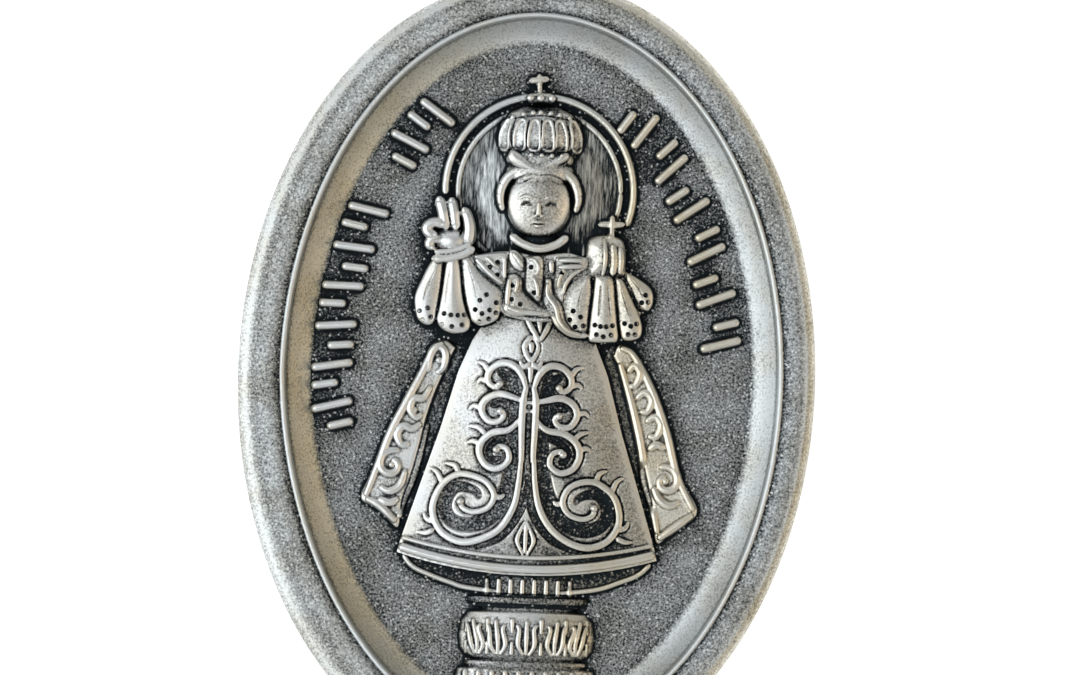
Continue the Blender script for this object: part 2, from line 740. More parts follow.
def turned(x, section, top):
    """A half-round relief of a turned form, spun from its section and flattened to its rise."""
    widest = max(radius for radius, level in section)
    chain = bpy.data.meshes.new("turned")
    chain.from_pydata(
        [(radius * unit, level * unit, 0.0) for radius, level in section],
        [(i, i + 1) for i in range(len(section) - 1)],
        [],
    )
    made = bpy.data.objects.new("turned", chain)
    bpy.context.collection.objects.link(made)
    take_up(made)
    bpy.ops.object.mode_set(mode="EDIT")
    bpy.ops.mesh.select_all(action="SELECT")
    bpy.ops.mesh.spin(steps=turning_steps, angle=math.tau, center=(0.0, 0.0, 0.0), axis=(0.0, 1.0, 0.0))
    bpy.ops.mesh.select_all(action="SELECT")
    bpy.ops.mesh.remove_doubles(threshold=0.0005)
    bpy.ops.mesh.normals_make_consistent(inside=False)
    bpy.ops.object.mode_set(mode="OBJECT")
    made.scale = (1.0, 1.0, top * relief_rise / (widest * unit))
    made.location = (foot_x + x * unit, foot_y, field_level)
    bpy.ops.object.transform_apply(location=True, rotation=True, scale=True)
    return made


def spaced(count, span):
    """The middles of so many equal steps across the pedestal, from left to right."""
    return [pedestal_x - span / 2 + span * (number + 0.5) / count for number in range(count)]


def seen_width(x):
    """How wide a form on the round drum looks at a place across it, as a share."""
    return math.sqrt(1 - (x / drum_reach) ** 2)


skirt = slab(under_skirt, top=0.2, rounding=0.05, smooth=False)
skirt_edge = fold(skirt_hem, [4.2], tops=[0.34])
pedestal_form = turned(pedestal_x, pedestal_section, top=0.66)
pedestal = fuse("pedestal", [skirt, skirt_edge, pedestal_form], fine_voxel, easing=1)
on_pedestal = surface_of(pedestal)
pedestal_parts = [pedestal]
for x in spaced(pleat_count, pleat_span):
    pedestal_parts.append(lay(on_pedestal, [(x, 199), (x, 184), (x, 170)], [3.5, 4.5], lift=0.35))
pedestal_parts.append(lay(on_pedestal, [(-70, 171), (4, 171), (78, 171)], [3], lift=0.3))
for x in leaf_places:
    middle = pedestal_x + x
    lean = leaf_lean * x
    for side in (-1, 0, 1):
        spread = leaf_spread * seen_width(x) * side
        path = [
            (middle + 0.3 * spread, 76),
            (middle + spread, 98 - 4 * abs(side)),
            (middle + 0.9 * spread + lean, 126 - 8 * abs(side)),
            (middle + 1.3 * spread + lean, 134 - 8 * abs(side)),
        ]
        pedestal_parts.append(lay(on_pedestal, path, [2.5, 4.6, 3.2], lift=0.5))
for x in tongue_places:
    middle = pedestal_x + x
    upper = [(middle, 136), (middle, 110)]
    lower = [(middle, 100), (middle, 76)]
    pedestal_parts.append(lay(on_pedestal, upper, [4.5 * seen_width(x), 2.5], lift=0.4))
    pedestal_parts.append(lay(on_pedestal, lower, [2.5, 4.0 * seen_width(x)], lift=0.4))
for x in spaced(flute_count, flute_span):
    pedestal_parts.append(lay(on_pedestal, [(x, 54), (x, 33)], [4.5], lift=0.4))
pedestal = fuse("pedestal", pedestal_parts, fine_voxel, easing=1)
finish_relief(pedestal, relief_metal)

# The robe is a stiff bell cast with the rest, highest down its middle, with two lines at its hem. Its
# embroidery is raised scrolls round a double stem, and the ground inside them is sunk.
robe_top = 630
hem_y = 204
hem_sag = 30
robe_levels = [200, 251, 349, 432, 525, 576, 630]
robe_halves = [214, 202, 171, 144, 118, 97, 62]
robe_cells = 48
robe_edge_rise = 0.45
robe_middle_rise = 0.27
waist_y = 540
waist_drop = 0.2
robe_voxel = 0.034


def robe_half(y):
    """Half the robe's width at a height on the figure."""
    return float(np.interp(y, robe_levels, robe_halves))


bpy.ops.object.select_all(action="DESELECT")
bpy.ops.mesh.primitive_grid_add(x_subdivisions=robe_cells, y_subdivisions=robe_cells, size=2.0)
robe = bpy.context.object
for vertex in robe.data.vertices:
    across = vertex.co.x
    down = (1 - vertex.co.y) / 2
    foot = hem_y + hem_sag * across * across
    y = robe_top + (foot - robe_top) * down
    x = across * robe_half(y)
    share = robe_edge_rise + robe_middle_rise * math.cos(across * math.pi / 2)
    share -= waist_drop * max(0.0, (y - waist_y) / (robe_top - waist_y)) ** 1.5
    vertex.co = (foot_x + x * unit, foot_y + y * unit, field_level + share * relief_rise)
bpy.ops.object.mode_set(mode="EDIT")
bpy.ops.mesh.select_all(action="SELECT")
bpy.ops.mesh.extrude_region_move(TRANSFORM_OT_translate={"value": (0.0, 0.0, -1.0)})
bpy.ops.transform.resize(value=(1.0, 1.0, 0.0), center_override=(0.0, 0.0, field_level + buried))
bpy.ops.mesh.select_all(action="SELECT")
bpy.ops.mesh.normals_make_consistent(inside=False)
bpy.ops.object.mode_set(mode="OBJECT")
on_robe = surface_of(robe)
left_scrolls = [
    [(-14, 392), (-17, 350), (-24, 312), (-45, 277), (-76, 259), (-106, 254), (-136, 268), (-151, 296),
     (-149, 322), (-135, 347), (-112, 361), (-86, 358), (-66, 348), (-55, 329), (-64, 310), (-86, 302),
     (-104, 308), (-110, 322)],
    [(-17, 452), (-35, 434), (-62, 428), (-80, 410), (-79, 390), (-66, 374), (-48, 373), (-34, 386),
     (-37, 403), (-50, 407), (-57, 398)],
    [(-16, 480), (-32, 486), (-52, 490), (-72, 482), (-80, 466), (-70, 448), (-54, 446), (-44, 456),
     (-50, 468)],
    [(-10, 500), (-18, 522), (-34, 537), (-54, 538), (-70, 524), (-70, 508), (-58, 500), (-48, 507)],
    [(-9, 506), (-14, 480), (-15, 440), (-14, 400), (-14, 380)],
]
right_scrolls = [
    [(6, 392), (9, 350), (17, 312), (36, 280), (64, 259), (96, 251), (126, 262), (143, 288),
     (142, 316), (130, 338), (106, 354), (82, 354), (62, 343), (54, 322), (64, 303), (86, 296),
     (102, 303), (106, 318)],
    [(6, 452), (24, 435), (52, 430), (72, 416), (78, 396), (68, 375), (48, 368), (32, 379), (34, 396),
     (48, 402), (55, 394)],
    [(6, 478), (24, 482), (44, 486), (64, 478), (72, 460), (62, 442), (46, 441), (37, 451), (43, 463)],
    [(2, 500), (10, 522), (26, 536), (46, 534), (60, 520), (60, 504), (48, 496), (38, 503)],
    [(1, 506), (6, 480), (6, 440), (5, 400), (5, 380)],
]
barbs = [
    [(-137, 345), (-146, 362), (-158, 370)],
    [(-112, 361), (-118, 374), (-136, 378)],
    [(-148, 272), (-162, 266), (-176, 268)],
    [(-146, 284), (-160, 288), (-166, 300)],
    [(-55, 329), (-46, 326), (-38, 332)],
    [(-80, 410), (-92, 414), (-102, 410)],
    [(-72, 426), (-84, 436), (-100, 438)],
    [(-80, 466), (-92, 470), (-100, 462)],
    [(-70, 508), (-82, 512), (-88, 504)],
    [(-70, 524), (-78, 536), (-90, 540)],
    [(130, 338), (138, 356), (150, 364)],
    [(106, 354), (110, 368), (124, 374)],
    [(140, 268), (154, 262), (168, 262)],
    [(140, 280), (154, 284), (160, 296)],
    [(54, 322), (45, 318), (38, 324)],
    [(76, 404), (88, 408), (98, 403)],
    [(68, 420), (78, 430), (93, 434)],
    [(72, 460), (84, 464), (92, 456)],
    [(60, 504), (72, 508), (80, 500)],
    [(60, 520), (68, 532), (80, 536)],
    [(-4, 584), (-15, 566), (-4, 544), (7, 566), (-4, 584)],
    [(-4, 574), (-4, 556)],
    [(-4, 540), (-16, 534), (-22, 546)],
    [(-4, 540), (8, 534), (14, 546)],
    [(-4, 536), (-4, 520), (-4, 508)],
]
hem_lines = []
hem_line_margin = 0.5
for lift, sag_share, half in ((28, 0.86, 3.8), (10, 1.0, 7.6)):
    sag = hem_sag * sag_share
    reach = robe_half(hem_y + lift + sag) - hem_line_margin
    steps = np.linspace(-1.0, 1.0, 15)
    hem_lines.append(([(step * reach, hem_y + lift + sag * step * step) for step in steps], half))
sunk = [
    ([(-30, 446), (-29, 405), (-32, 370), (-36, 338), (-50, 308), (-72, 288), (-98, 281), (-120, 287),
      (-131, 304), (-129, 324), (-116, 340), (-98, 340), (-82, 333), (-78, 322)],
     [6, 10, 11, 13, 15, 15, 13, 12, 11, 9, 6]),
    ([(-34, 424), (-54, 414), (-66, 398), (-58, 386), (-46, 390)], [7, 7, 6, 5]),
    ([(-26, 536), (-34, 514), (-30, 492), (-32, 470), (-28, 452), (-30, 436)], [5, 12, 11, 11, 8]),
    ([(-56, 526), (-42, 518), (-30, 506)], [6, 8, 8]),
    ([(-66, 470), (-52, 474), (-34, 470)], [5, 7, 7]),
    ([(20, 446), (20, 405), (22, 370), (28, 336), (42, 306), (64, 286), (90, 278), (112, 284), (124, 300),
      (122, 320), (110, 334), (94, 335), (78, 328), (74, 318)],
     [6, 10, 11, 13, 15, 15, 13, 12, 11, 9, 6]),
    ([(26, 424), (46, 415), (60, 400), (54, 385), (44, 386)], [7, 7, 6, 5]),
    ([(18, 534), (26, 512), (22, 490), (24, 470), (20, 450), (21, 436)], [5, 12, 11, 11, 8]),
    ([(48, 522), (34, 514), (22, 504)], [6, 8, 8]),
    ([(58, 466), (44, 470), (26, 466)], [5, 7, 7]),
    ([(-4, 366), (-4, 330), (-22, 292), (-46, 262), (-84, 245)], [3, 7, 9, 7, 4]),
    ([(-4, 330), (14, 292), (38, 262), (74, 243)], [6, 9, 7, 4]),
]
bud = [
    ([(-14, 613), (-4, 595), (9, 575)], [5.0, 5.6, 3.6]),
    ([(27, 613), (20, 596), (9, 575)], [5.0, 5.6, 3.6]),
    ([(7, 614), (8, 602), (9, 588)], [7.0, 5.0, 2.0]),
    ([(-3, 292), (-12, 274), (-16, 259), (-10, 244), (-3, 232)], [2.0, 4.6, 2.0]),
    ([(-3, 292), (5, 274), (10, 259), (4, 244), (-3, 232)], [2.0, 4.6, 2.0]),
    ([(-3, 286), (-3, 262), (-3, 238)], [3.0, 4.6, 3.0]),
]
scroll_halves = [4.6, 7.2, 7.2, 6.8, 6.2, 5.2]
scroll_groove_halves = [7.6, 10.0, 10.0, 9.6, 9.0, 8.0]
barb_halves = [5.8, 5.4, 2.8]
barb_groove_halves = [8.4, 8.0, 5.4]
bud_groove_margin = 3.0
scroll_bead = 6.5
scroll_eyes = [
    (-108, 318), (104, 314), (-54, 402), (52, 397), (-50, 463), (43, 458), (-52, 506), (42, 502),
]
stem_ring = [(-4, 462), (-16, 470), (-4, 478), (8, 470), (-4, 462)]

# The ground is sunk and a groove is cut beside each line, and then the lines are raised in them
scrolls = left_scrolls + right_scrolls
grounds = [drape(on_robe, path, halves, depth=0.13) for path, halves in sunk]
grounds += [drape(on_robe, path, scroll_groove_halves, depth=0.07) for path in scrolls]
grounds += [drape(on_robe, path, barb_groove_halves, depth=0.05) for path in barbs]
for path, halves in bud:
    grounds.append(drape(on_robe, path, [half + bud_groove_margin for half in halves], depth=0.07))
carve(robe, grounds)
robe_parts = [robe]
robe_parts += [drape(on_robe, path, scroll_halves, depth=0.09, rooted=True) for path in scrolls]
robe_parts += [drape(on_robe, path, halves, depth=0.07, rooted=True) for path, halves in bud]
robe_parts += [drape(on_robe, path, barb_halves, depth=0.06, rooted=True) for path in barbs]
robe_parts += [pearl(on_robe, x, y, scroll_bead) for x, y in scroll_eyes]
robe_parts += [lay(on_robe, path, [half], lift=0.25) for path, half in hem_lines]
robe_parts.append(lay(on_robe, stem_ring, [3], lift=0.3))
robe = fuse("robe", robe_parts, robe_voxel, easing=1)
finish_relief(robe, relief_metal)

# The cape, the sleeves and the hands are one relief, cast with the rest. Each sleeve is a fan of full
# folds ending in lace that is dotted with pits. The right hand is raised in blessing from its cuff,
# and the left holds an orb with a cross.
cape_outline = [
    (-98, 708), (-70, 714), (-40, 716), (0, 712), (44, 717), (62, 714), (80, 706), (84, 680), (70, 640),
    (44, 612), (8, 605), (-30, 610), (-54, 620), (-62, 650), (-90, 680),
]
left_sleeve_outline = [
    (-152, 694), (-176, 640), (-170, 612), (-126, 598), (-80, 608), (-60, 640), (-98, 700),
]
right_sleeve_outline = [
    (78, 680), (52, 640), (58, 604), (84, 594), (134, 594), (158, 606), (170, 645), (141, 684),
]
cape_top = 0.68
sleeve_top = 0.5
cloth_rounding = 0.08
cushion_rounding = 0.06
swelling_depth = 0.1


def cushion(outline, edge, crown, reach=0.16):
    """A form with a rounded edge whose top swells inwards from its outline, mostly within the reach."""
    made = slab(outline, edge, cushion_rounding)
    made.data.remesh_voxel_size = fine_voxel
    bpy.ops.object.voxel_remesh()
    ring = smooth_line([*outline, outline[0]], 1.0)[0] * unit + (foot_x, foot_y)
    for vertex in made.data.vertices:
        if vertex.co.z > field_level + edge * relief_rise - swelling_depth:
            inside = np.hypot(ring[:, 0] - vertex.co.x, ring[:, 1] - vertex.co.y).min()
            vertex.co.z += crown * relief_rise * (1 - math.exp(-inside / reach))
    return made


left_folds = [
    cushion([(-148, 698), (-166, 697), (-181, 668), (-191, 642), (-190, 620), (-185, 604), (-172, 595),
             (-160, 600), (-156, 622), (-152, 650)], edge=0.64, crown=0.09),
    cushion([(-143, 700), (-148, 650), (-152, 622), (-155, 604), (-147, 590), (-127, 583), (-108, 587),
             (-102, 600), (-110, 620), (-117, 648), (-125, 702)], edge=0.72, crown=0.11),
    cushion([(-121, 704), (-104, 708), (-94, 690), (-73, 671), (-56, 657), (-53, 638), (-56, 617),
             (-62, 606), (-84, 597), (-99, 603), (-106, 620), (-113, 648)], edge=0.67, crown=0.1),
]
right_folds = [
    cushion([(86, 680), (76, 680), (62, 668), (48, 653), (45, 638), (46, 616), (54, 598), (66, 590),
             (82, 590), (85, 624), (88, 655)], edge=0.66, crown=0.09),
    cushion([(93, 682), (119, 682), (126, 640), (130, 606), (132, 582), (120, 577), (97, 577), (86, 582),
             (88, 617), (91, 650)], edge=0.72, crown=0.12),
    cushion([(124, 682), (137, 676), (149, 653), (159, 633), (166, 618), (170, 600), (165, 585),
             (142, 582), (135, 598), (130, 632)], edge=0.66, crown=0.09),
    cushion([(141, 690), (161, 680), (182, 664), (186, 645), (180, 630), (169, 632), (155, 650),
             (144, 668)], edge=0.54, crown=0.08),
]
capelets = [
    cushion([(-100, 708), (-72, 712), (-48, 712), (-47, 690), (-47, 664), (-55, 659), (-73, 672),
             (-93, 688)], edge=0.74, crown=0.06),
    cushion([(29, 709), (77, 710), (80, 693), (60, 682), (50, 666), (47, 648), (41, 638), (30, 652),
             (27, 672), (30, 688)], edge=0.74, crown=0.06),
]
bodice = [
    cushion([(-45, 679), (-34, 681), (-22, 672), (-21, 656), (-9, 643), (7, 631), (25, 624), (21, 614),
             (-8, 615), (-27, 614), (-43, 617), (-51, 626), (-49, 651)], edge=0.78, crown=0.1),
    cushion([(-18, 708), (7, 709), (11, 681), (9, 645), (3, 637), (-6, 645), (-16, 655), (-18, 668),
             (-17, 684)], edge=0.78, crown=0.08),
    cushion([(-44, 718), (-34, 718), (-22, 707), (-20, 692), (-24, 684), (-37, 690),
             (-44, 701)], edge=0.78, crown=0.08),
    cushion([(14, 675), (24, 673), (27, 652), (41, 634), (47, 612), (57, 598), (68, 591), (82, 591),
             (82, 583), (57, 584), (36, 597), (26, 612), (12, 640)], edge=0.78, crown=0.1),
]
left_hand = [
    mound(-136, 729, 33, 23, top=0.72, fullness=0.6),
    fold([(-145, 748), (-151, 775), (-159, 798)], [9, 9.5, 8.5], [0.80, 0.84, 0.76]),
    fold([(-130, 748), (-134, 775), (-139, 797)], [8.5, 8.5, 8], [0.76, 0.80, 0.72]),
    fold([(-112, 722), (-108, 745), (-111, 765), (-119, 782)], [11, 10, 9, 8], [0.80, 0.82, 0.78, 0.72]),
    fold([(-148, 754), (-164, 758), (-176, 750), (-172, 740), (-160, 738)], [8, 8.5, 7.5], [0.86]),
    fold([(-150, 728), (-164, 732), (-172, 724), (-164, 716)], [7.5, 8, 7], [0.80]),
]
orb_hand = [
    cushion([(78, 731), (84, 741), (101, 746), (120, 745), (134, 739), (139, 724), (140, 702), (138, 684),
             (116, 679), (94, 678), (81, 682), (77, 706)], edge=0.6, crown=0.36, reach=0.3),
    fold([(120, 684), (122, 706), (119, 732)], [5.5, 6.5, 5.5], [0.94, 0.98, 0.94]),
    fold([(132, 686), (133, 708), (131, 728)], [5, 6, 5], [0.86, 0.92, 0.86]),
    fold([(117, 740), (117, 754), (117, 778)], [4.5, 4, 5], [0.66, 0.6, 0.56]),
    fold([(95, 763), (108, 764), (117, 763), (137, 765)], [4.5, 5.5, 5.5, 4.5], [0.56]),
    mound(114, 744, 9, 7, top=0.72),
]
cuff = [
    fold([(-166, 700), (-140, 702), (-118, 708), (-100, 719)], [6.5], [0.86]),
    fold([(-162, 711), (-140, 713), (-120, 719), (-106, 727)], [4], [0.84]),
]
sleeve_ground = [
    slab(outline, sleeve_top, cloth_rounding) for outline in (left_sleeve_outline, right_sleeve_outline)
]
cape_parts = [slab(cape_outline, cape_top, cloth_rounding)] + sleeve_ground + left_folds + right_folds
cape_parts += capelets + bodice + left_hand + orb_hand + cuff
cape = fuse("cape_and_sleeves", cape_parts, fine_voxel, easing=2)
on_cape = surface_of(cape)
cape_lines = [
    ([(-97, 703), (-84, 690), (-70, 677), (-52, 664)], 4.6),
    ([(-80, 706), (-70, 696), (-60, 688)], 3.4),
    ([(-51, 708), (-51, 690), (-50, 672)], 3.4),
    ([(33, 704), (54, 705), (74, 705)], 4.0),
    ([(33, 693), (54, 695), (73, 696)], 4.0),
    ([(70, 690), (56, 681), (46, 666), (43, 650)], 3.6),
    ([(44, 690), (37, 676), (34, 660)], 3.0),
    ([(22, 706), (23, 694), (24, 682)], 5.0),
    ([(-40, 714), (-30, 704), (-22, 690)], 4.0),
    ([(-14, 704), (-4, 703), (3, 692), (0, 680)], 3.4),
    ([(-4, 676), (2, 660), (3, 644)], 3.4),
    ([(-42, 674), (-44, 650), (-45, 630)], 4.6),
    ([(-45, 628), (-30, 622), (-10, 620), (14, 619)], 4.4),
    ([(-30, 676), (-30, 664), (-33, 650)], 3.4),
    ([(18, 668), (19, 648), (32, 630), (38, 610), (52, 594), (74, 587)], 4.0),
    ([(104, 743), (107, 728), (108, 711), (107, 694), (104, 682)], 4.0),
]
grooves = [
    ([(-145, 694), (-150, 655), (-154, 625), (-158, 596)], [1.6, 2.6, 3.0, 4.0]),
    ([(-123, 696), (-116, 655), (-107, 622), (-99, 594)], [1.6, 2.6, 3.0, 4.0]),
    ([(-106, 704), (-92, 685), (-73, 668), (-54, 655), (-50, 640), (-50, 626)], [1.8, 2.8, 2.8, 2.4]),
    ([(90, 678), (88, 640), (86, 610), (83, 580)], [1.8, 2.8, 3.0, 4.0]),
    ([(121, 680), (127, 645), (131, 612), (135, 580)], [1.8, 2.8, 3.0, 4.0]),
    ([(138, 684), (151, 660), (160, 640), (169, 624)], [1.8, 2.8, 3.0, 3.4]),
    ([(76, 684), (58, 672), (47, 655), (44, 636)], [1.6, 2.4, 2.4, 1.8]),
    ([(-160, 682), (-172, 656), (-178, 634)], [1.8, 2.8, 1.8]),
    ([(-137, 684), (-141, 656), (-143, 630)], [1.4, 2.2, 1.4]),
    ([(-109, 692), (-99, 664), (-94, 640)], [1.6, 2.4, 1.6]),
    ([(102, 668), (101, 636), (100, 618)], [2.0, 3.0, 2.0]),
    ([(114, 668), (117, 640), (120, 618)], [2.0, 3.0, 2.0]),
    ([(74, 664), (69, 640), (69, 622)], [1.8, 2.8, 1.8]),
    ([(134, 664), (143, 638), (149, 620)], [1.8, 2.8, 1.8]),
    ([(150, 680), (164, 662), (170, 648)], [1.6, 2.6, 1.6]),
    ([(-148, 794), (-143, 776), (-138, 752)], [1.6, 2.2, 2.0]),
    ([(-164, 748), (-156, 748), (-148, 744)], [2.2, 3.0, 2.0]),
    ([(-124, 770), (-121, 750), (-124, 734)], [2.2, 3.0, 2.0]),
    ([(-166, 729), (-156, 733), (-146, 736)], [1.4, 2.2, 1.4]),
]
lace_holes = [
    (-183, 617), (-170, 622), (-178, 603), (-165, 608),
    (-144, 614), (-133, 612), (-122, 612), (-112, 613), (-147, 597), (-131, 594), (-115, 597),
    (-95, 622), (-84, 616), (-72, 622), (-62, 634), (-88, 637), (-78, 646), (-88, 603), (-73, 608),
    (-62, 618),
    (60, 625), (72, 616), (55, 611), (64, 600), (77, 602),
    (95, 604), (104, 602), (113, 602), (123, 604), (98, 589), (109, 586), (121, 589),
    (142, 608), (152, 604), (161, 608), (148, 591), (159, 591),
    (174, 654), (178, 643), (168, 642),
    (-9, 692), (-3, 652), (-38, 662), (-38, 640), (-74, 690), (-62, 698), (-62, 678), (-24, 633),
    (40, 684),
]
lace_hole = 4.4
end_narrowing = 0.7
cape_parts = [cape]
for line, half in cape_lines:
    end_half = end_narrowing * half
    cape_parts.append(lay(on_cape, line, [end_half, half, half, end_half], lift=0.2))
cape = fuse("cape_and_sleeves", cape_parts, fine_voxel, easing=1)
cutters = [lay(on_cape, path, halves, lift=0.3, rooted=False) for path, halves in grooves]
cutters += [pearl(on_cape, x, y, lace_hole, lift=-0.1) for x, y in lace_holes]
carve(cape, cutters)
finish_relief(cape, relief_metal)

# The head wears a soft crown: swelling gores over a beaded band, with a small cross on a knob. The
# face is a calm child's on plain proportions, framed by short locks, above a ruffed collar. All of it
# is cast with the rest, in the highest relief.
head_y = 794
face_half_width = 52
face_half_height = 58
eye_y = head_y - 4
nose_y = eye_y - 18
mouth_y = eye_y - 29
hair_line = [
    (-57, 780), (-61, 797), (-60, 814), (-52, 831), (-37, 843), (-16, 849), (0, 847), (16, 849),
    (37, 843), (52, 832), (60, 815), (62, 798), (58, 781),
]
hair_halves = [4, 6.5, 7.5, 8, 8, 8, 7.5, 6.5, 4]
hair_tops = [0.72, 0.80, 0.84, 0.86, 0.84, 0.80, 0.72]
crown_outline = [
    (0, 846), (48, 850), (60, 866), (68, 886), (70, 902), (66, 920), (54, 936), (36, 946), (16, 950),
    (0, 951),
]
seam_places = [-46, -22, 0, 21, 43]
gore_places = [-58, -34, -11, 11, 32, 56]
gore_half = 9.0
gore_reach = 84
gore_lean = 0.1
head_parts = [
    mound(0, head_y, face_half_width, face_half_height, top=0.9, fullness=0.35),
    mound(0, head_y - 8, 40, 44, top=0.98, fullness=0.8),
    mound(0, 842, 54, 30, top=0.84, fullness=0.4),
    mound(-1, 864, 54, 24, top=0.8, fullness=0.4),
    mound(2, 732, 32, 22, top=0.5, fullness=0.6),
    fold(hair_line, hair_halves, hair_tops, squash=0.7),
    fold([(-43, 741), (-24, 729), (3, 722), (29, 729), (47, 742)], [6.8], [0.84], squash=0.6),
    turned(-1, crown_outline, top=0.94),
    cushion([(-52, 866), (-47, 876), (-38, 874), (-26, 868), (-12, 857), (-4, 853), (8, 859), (20, 866),
             (34, 873), (43, 874), (46, 866), (38, 860), (22, 851), (8, 843), (-4, 838), (-16, 841),
             (-34, 848), (-48, 857)], edge=0.9, crown=0.12),
    fold([(-24, 959), (-3, 961), (20, 960)], [8], [0.62]),
    fold([(-3, 955), (-5, 975), (-6, 998)], [4.5, 4.0, 5.0], [0.50, 0.46, 0.46]),
    fold([(-22, 987), (-6, 989), (9, 991)], [5.5, 5.0, 5.5], [0.50]),
]
head = fuse("head_and_crown", head_parts, fine_voxel, easing=2)
on_head = surface_of(head)
details = [head]
for side in (-1, 1):
    brow = [(side * 31, eye_y + 10), (side * 21, eye_y + 14), (side * 9, eye_y + 11)]
    details.append(lay(on_head, brow, [2.0, 3.0, 2.4], lift=-0.2))
nose = [(0, eye_y + 6), (0, nose_y + 9), (0, nose_y + 1)]
details.append(lay(on_head, nose, [2.6, 4.0, 5.4], lift=0.1))
for side in (-1, 1):
    details.append(pearl(on_head, side * 5.0, nose_y + 1, 3.0, lift=0.1))
upper_lip = [(-9, mouth_y + 1), (-4, mouth_y + 3), (0, mouth_y + 2.2), (4, mouth_y + 3), (9, mouth_y + 1)]
lower_lip = [(-6, mouth_y - 3.2), (0, mouth_y - 4), (6, mouth_y - 3.2)]
details.append(lay(on_head, upper_lip, [1.6, 2.6, 2.6, 1.6]))
details.append(lay(on_head, lower_lip, [1.8, 3.0, 1.8]))
for x in gore_places:
    wide = gore_half * math.sqrt(1 - ((x + 1) / gore_reach) ** 2)
    lean = gore_lean * x
    path = [
        (x - wide, 880), (x - wide, 902), (x - 0.7 * wide - lean, 920), (x - lean, 925),
        (x + 0.7 * wide - lean, 920), (x + wide, 902), (x + wide, 880), (x, 876), (x - wide, 880),
    ]
    details.append(lay(on_head, path, [2.6], lift=0.2))
for x in (-46, -29, -14, -2, 14, 28, 44):
    details.append(pearl(on_head, x, 937 - 0.004 * x * x, 4.4, lift=0.3))
for x in (-15, 2, 18, 34):
    details.append(pearl(on_head, x, 869, 3.8, lift=0.4))
for x in (-19, -3, 15):
    details.append(pearl(on_head, x, 960, 6.5, lift=0.5))
head = fuse("head_and_crown", details, fine_voxel, easing=1)
head_cuts = []


def nick(path, halves, lift=0.2):
    """Cuts a fine line into the head."""
    head_cuts.append(lay(on_head, path, halves, lift, rooted=False))


for side in (-1, 1):
    nick([(side * 30, eye_y - 1), (side * 20, eye_y + 3), (side * 9, eye_y - 1)], [2.0, 4.8, 2.0])
    parting = [(50, 774), (54, 794), (51, 812), (40, 828), (20, 838), (0, 838)]
    nick([(side * x, y) for x, y in parting], [1.6, 2.2, 2.2, 1.8])
    nick([(side * 10, 835), (side * 22, 828), (side * 36, 822)], [1.2, 1.8, 1.2], lift=0.3)
nick([(-10, mouth_y - 0.5), (0, mouth_y - 0.5), (10, mouth_y - 0.5)], [1.4, 1.9, 1.4])
nick([(-34, 727), (-16, 717), (4, 713), (24, 717), (40, 728)], [2.6])
for x in seam_places:
    nick([(0.98 * x, 878), (1.04 * x, 900), (0.9 * x, 928)], [2.0, 2.6, 1.8])
nick([(-50, 926), (-26, 930), (-1, 932), (24, 930), (48, 926)], [1.8])
nick([(-54, 878), (-26, 874), (-1, 872), (24, 874), (52, 878)], [2.0])
for level in (772, 788, 804, 820):
    lock_x = float(np.interp(level, [772, 800, 820], [61, 66, 61]))
    for side in (-1, 1):
        nick([(side * (lock_x - 6), level), (side * (lock_x + 7), level + 5)], [1.2], lift=0.3)
carve(head, head_cuts)
take_up(head)
eye_balls = [mound(side * 19.5, eye_y + 0.6, 5.6, 3.0, top=0.945, base=0.75) for side in (-1, 1)]
head = join([head] + eye_balls)
head.name = "head_and_crown"
finish_relief(head, relief_metal)

# Two rows of raised strokes follow the oval round the field, a long and a short slanting bar at each
# step, cast with it. One of each is modelled, and the rest are copies of it.
legend_height = 1.37
legend_gap = 0.16
legend_middle = cove_inset + legend_gap + legend_height / 2
long_stroke = 0.96 * legend_height
short_stroke = 0.62 * legend_height
short_stroke_shift = 0.38 * legend_height / 2.4
half_spacing = 0.3
stroke_width = 0.27
stroke_rise = 0.36
stroke_root = 0.2
stroke_rounding = 0.125
stroke_lean = 0.16
stroke_voxel = 0.042
legend_rows = [(187.3, 126.6, 9, 6), (53.9, 8.7, 6, None)]


def stroke(length):
    """One bar with rounded edges, its foot sunk in the field."""
    bpy.ops.object.select_all(action="DESELECT")
    bpy.ops.mesh.primitive_cube_add(size=1.0, location=(0.0, 0.0, (stroke_rise - stroke_root) / 2))
    made = bpy.context.object
    made.scale = (stroke_width, length, stroke_rise + stroke_root)
    bpy.ops.object.transform_apply(location=True, rotation=True, scale=True)
    bpy.ops.object.mode_set(mode="EDIT")
    bpy.ops.mesh.select_all(action="SELECT")
    bpy.ops.mesh.bevel(offset=stroke_rounding, segments=5, affect="EDGES")
    bpy.ops.object.mode_set(mode="OBJECT")
    return made


patterns = {"long": stroke(long_stroke), "short": stroke(short_stroke)}
strokes = []
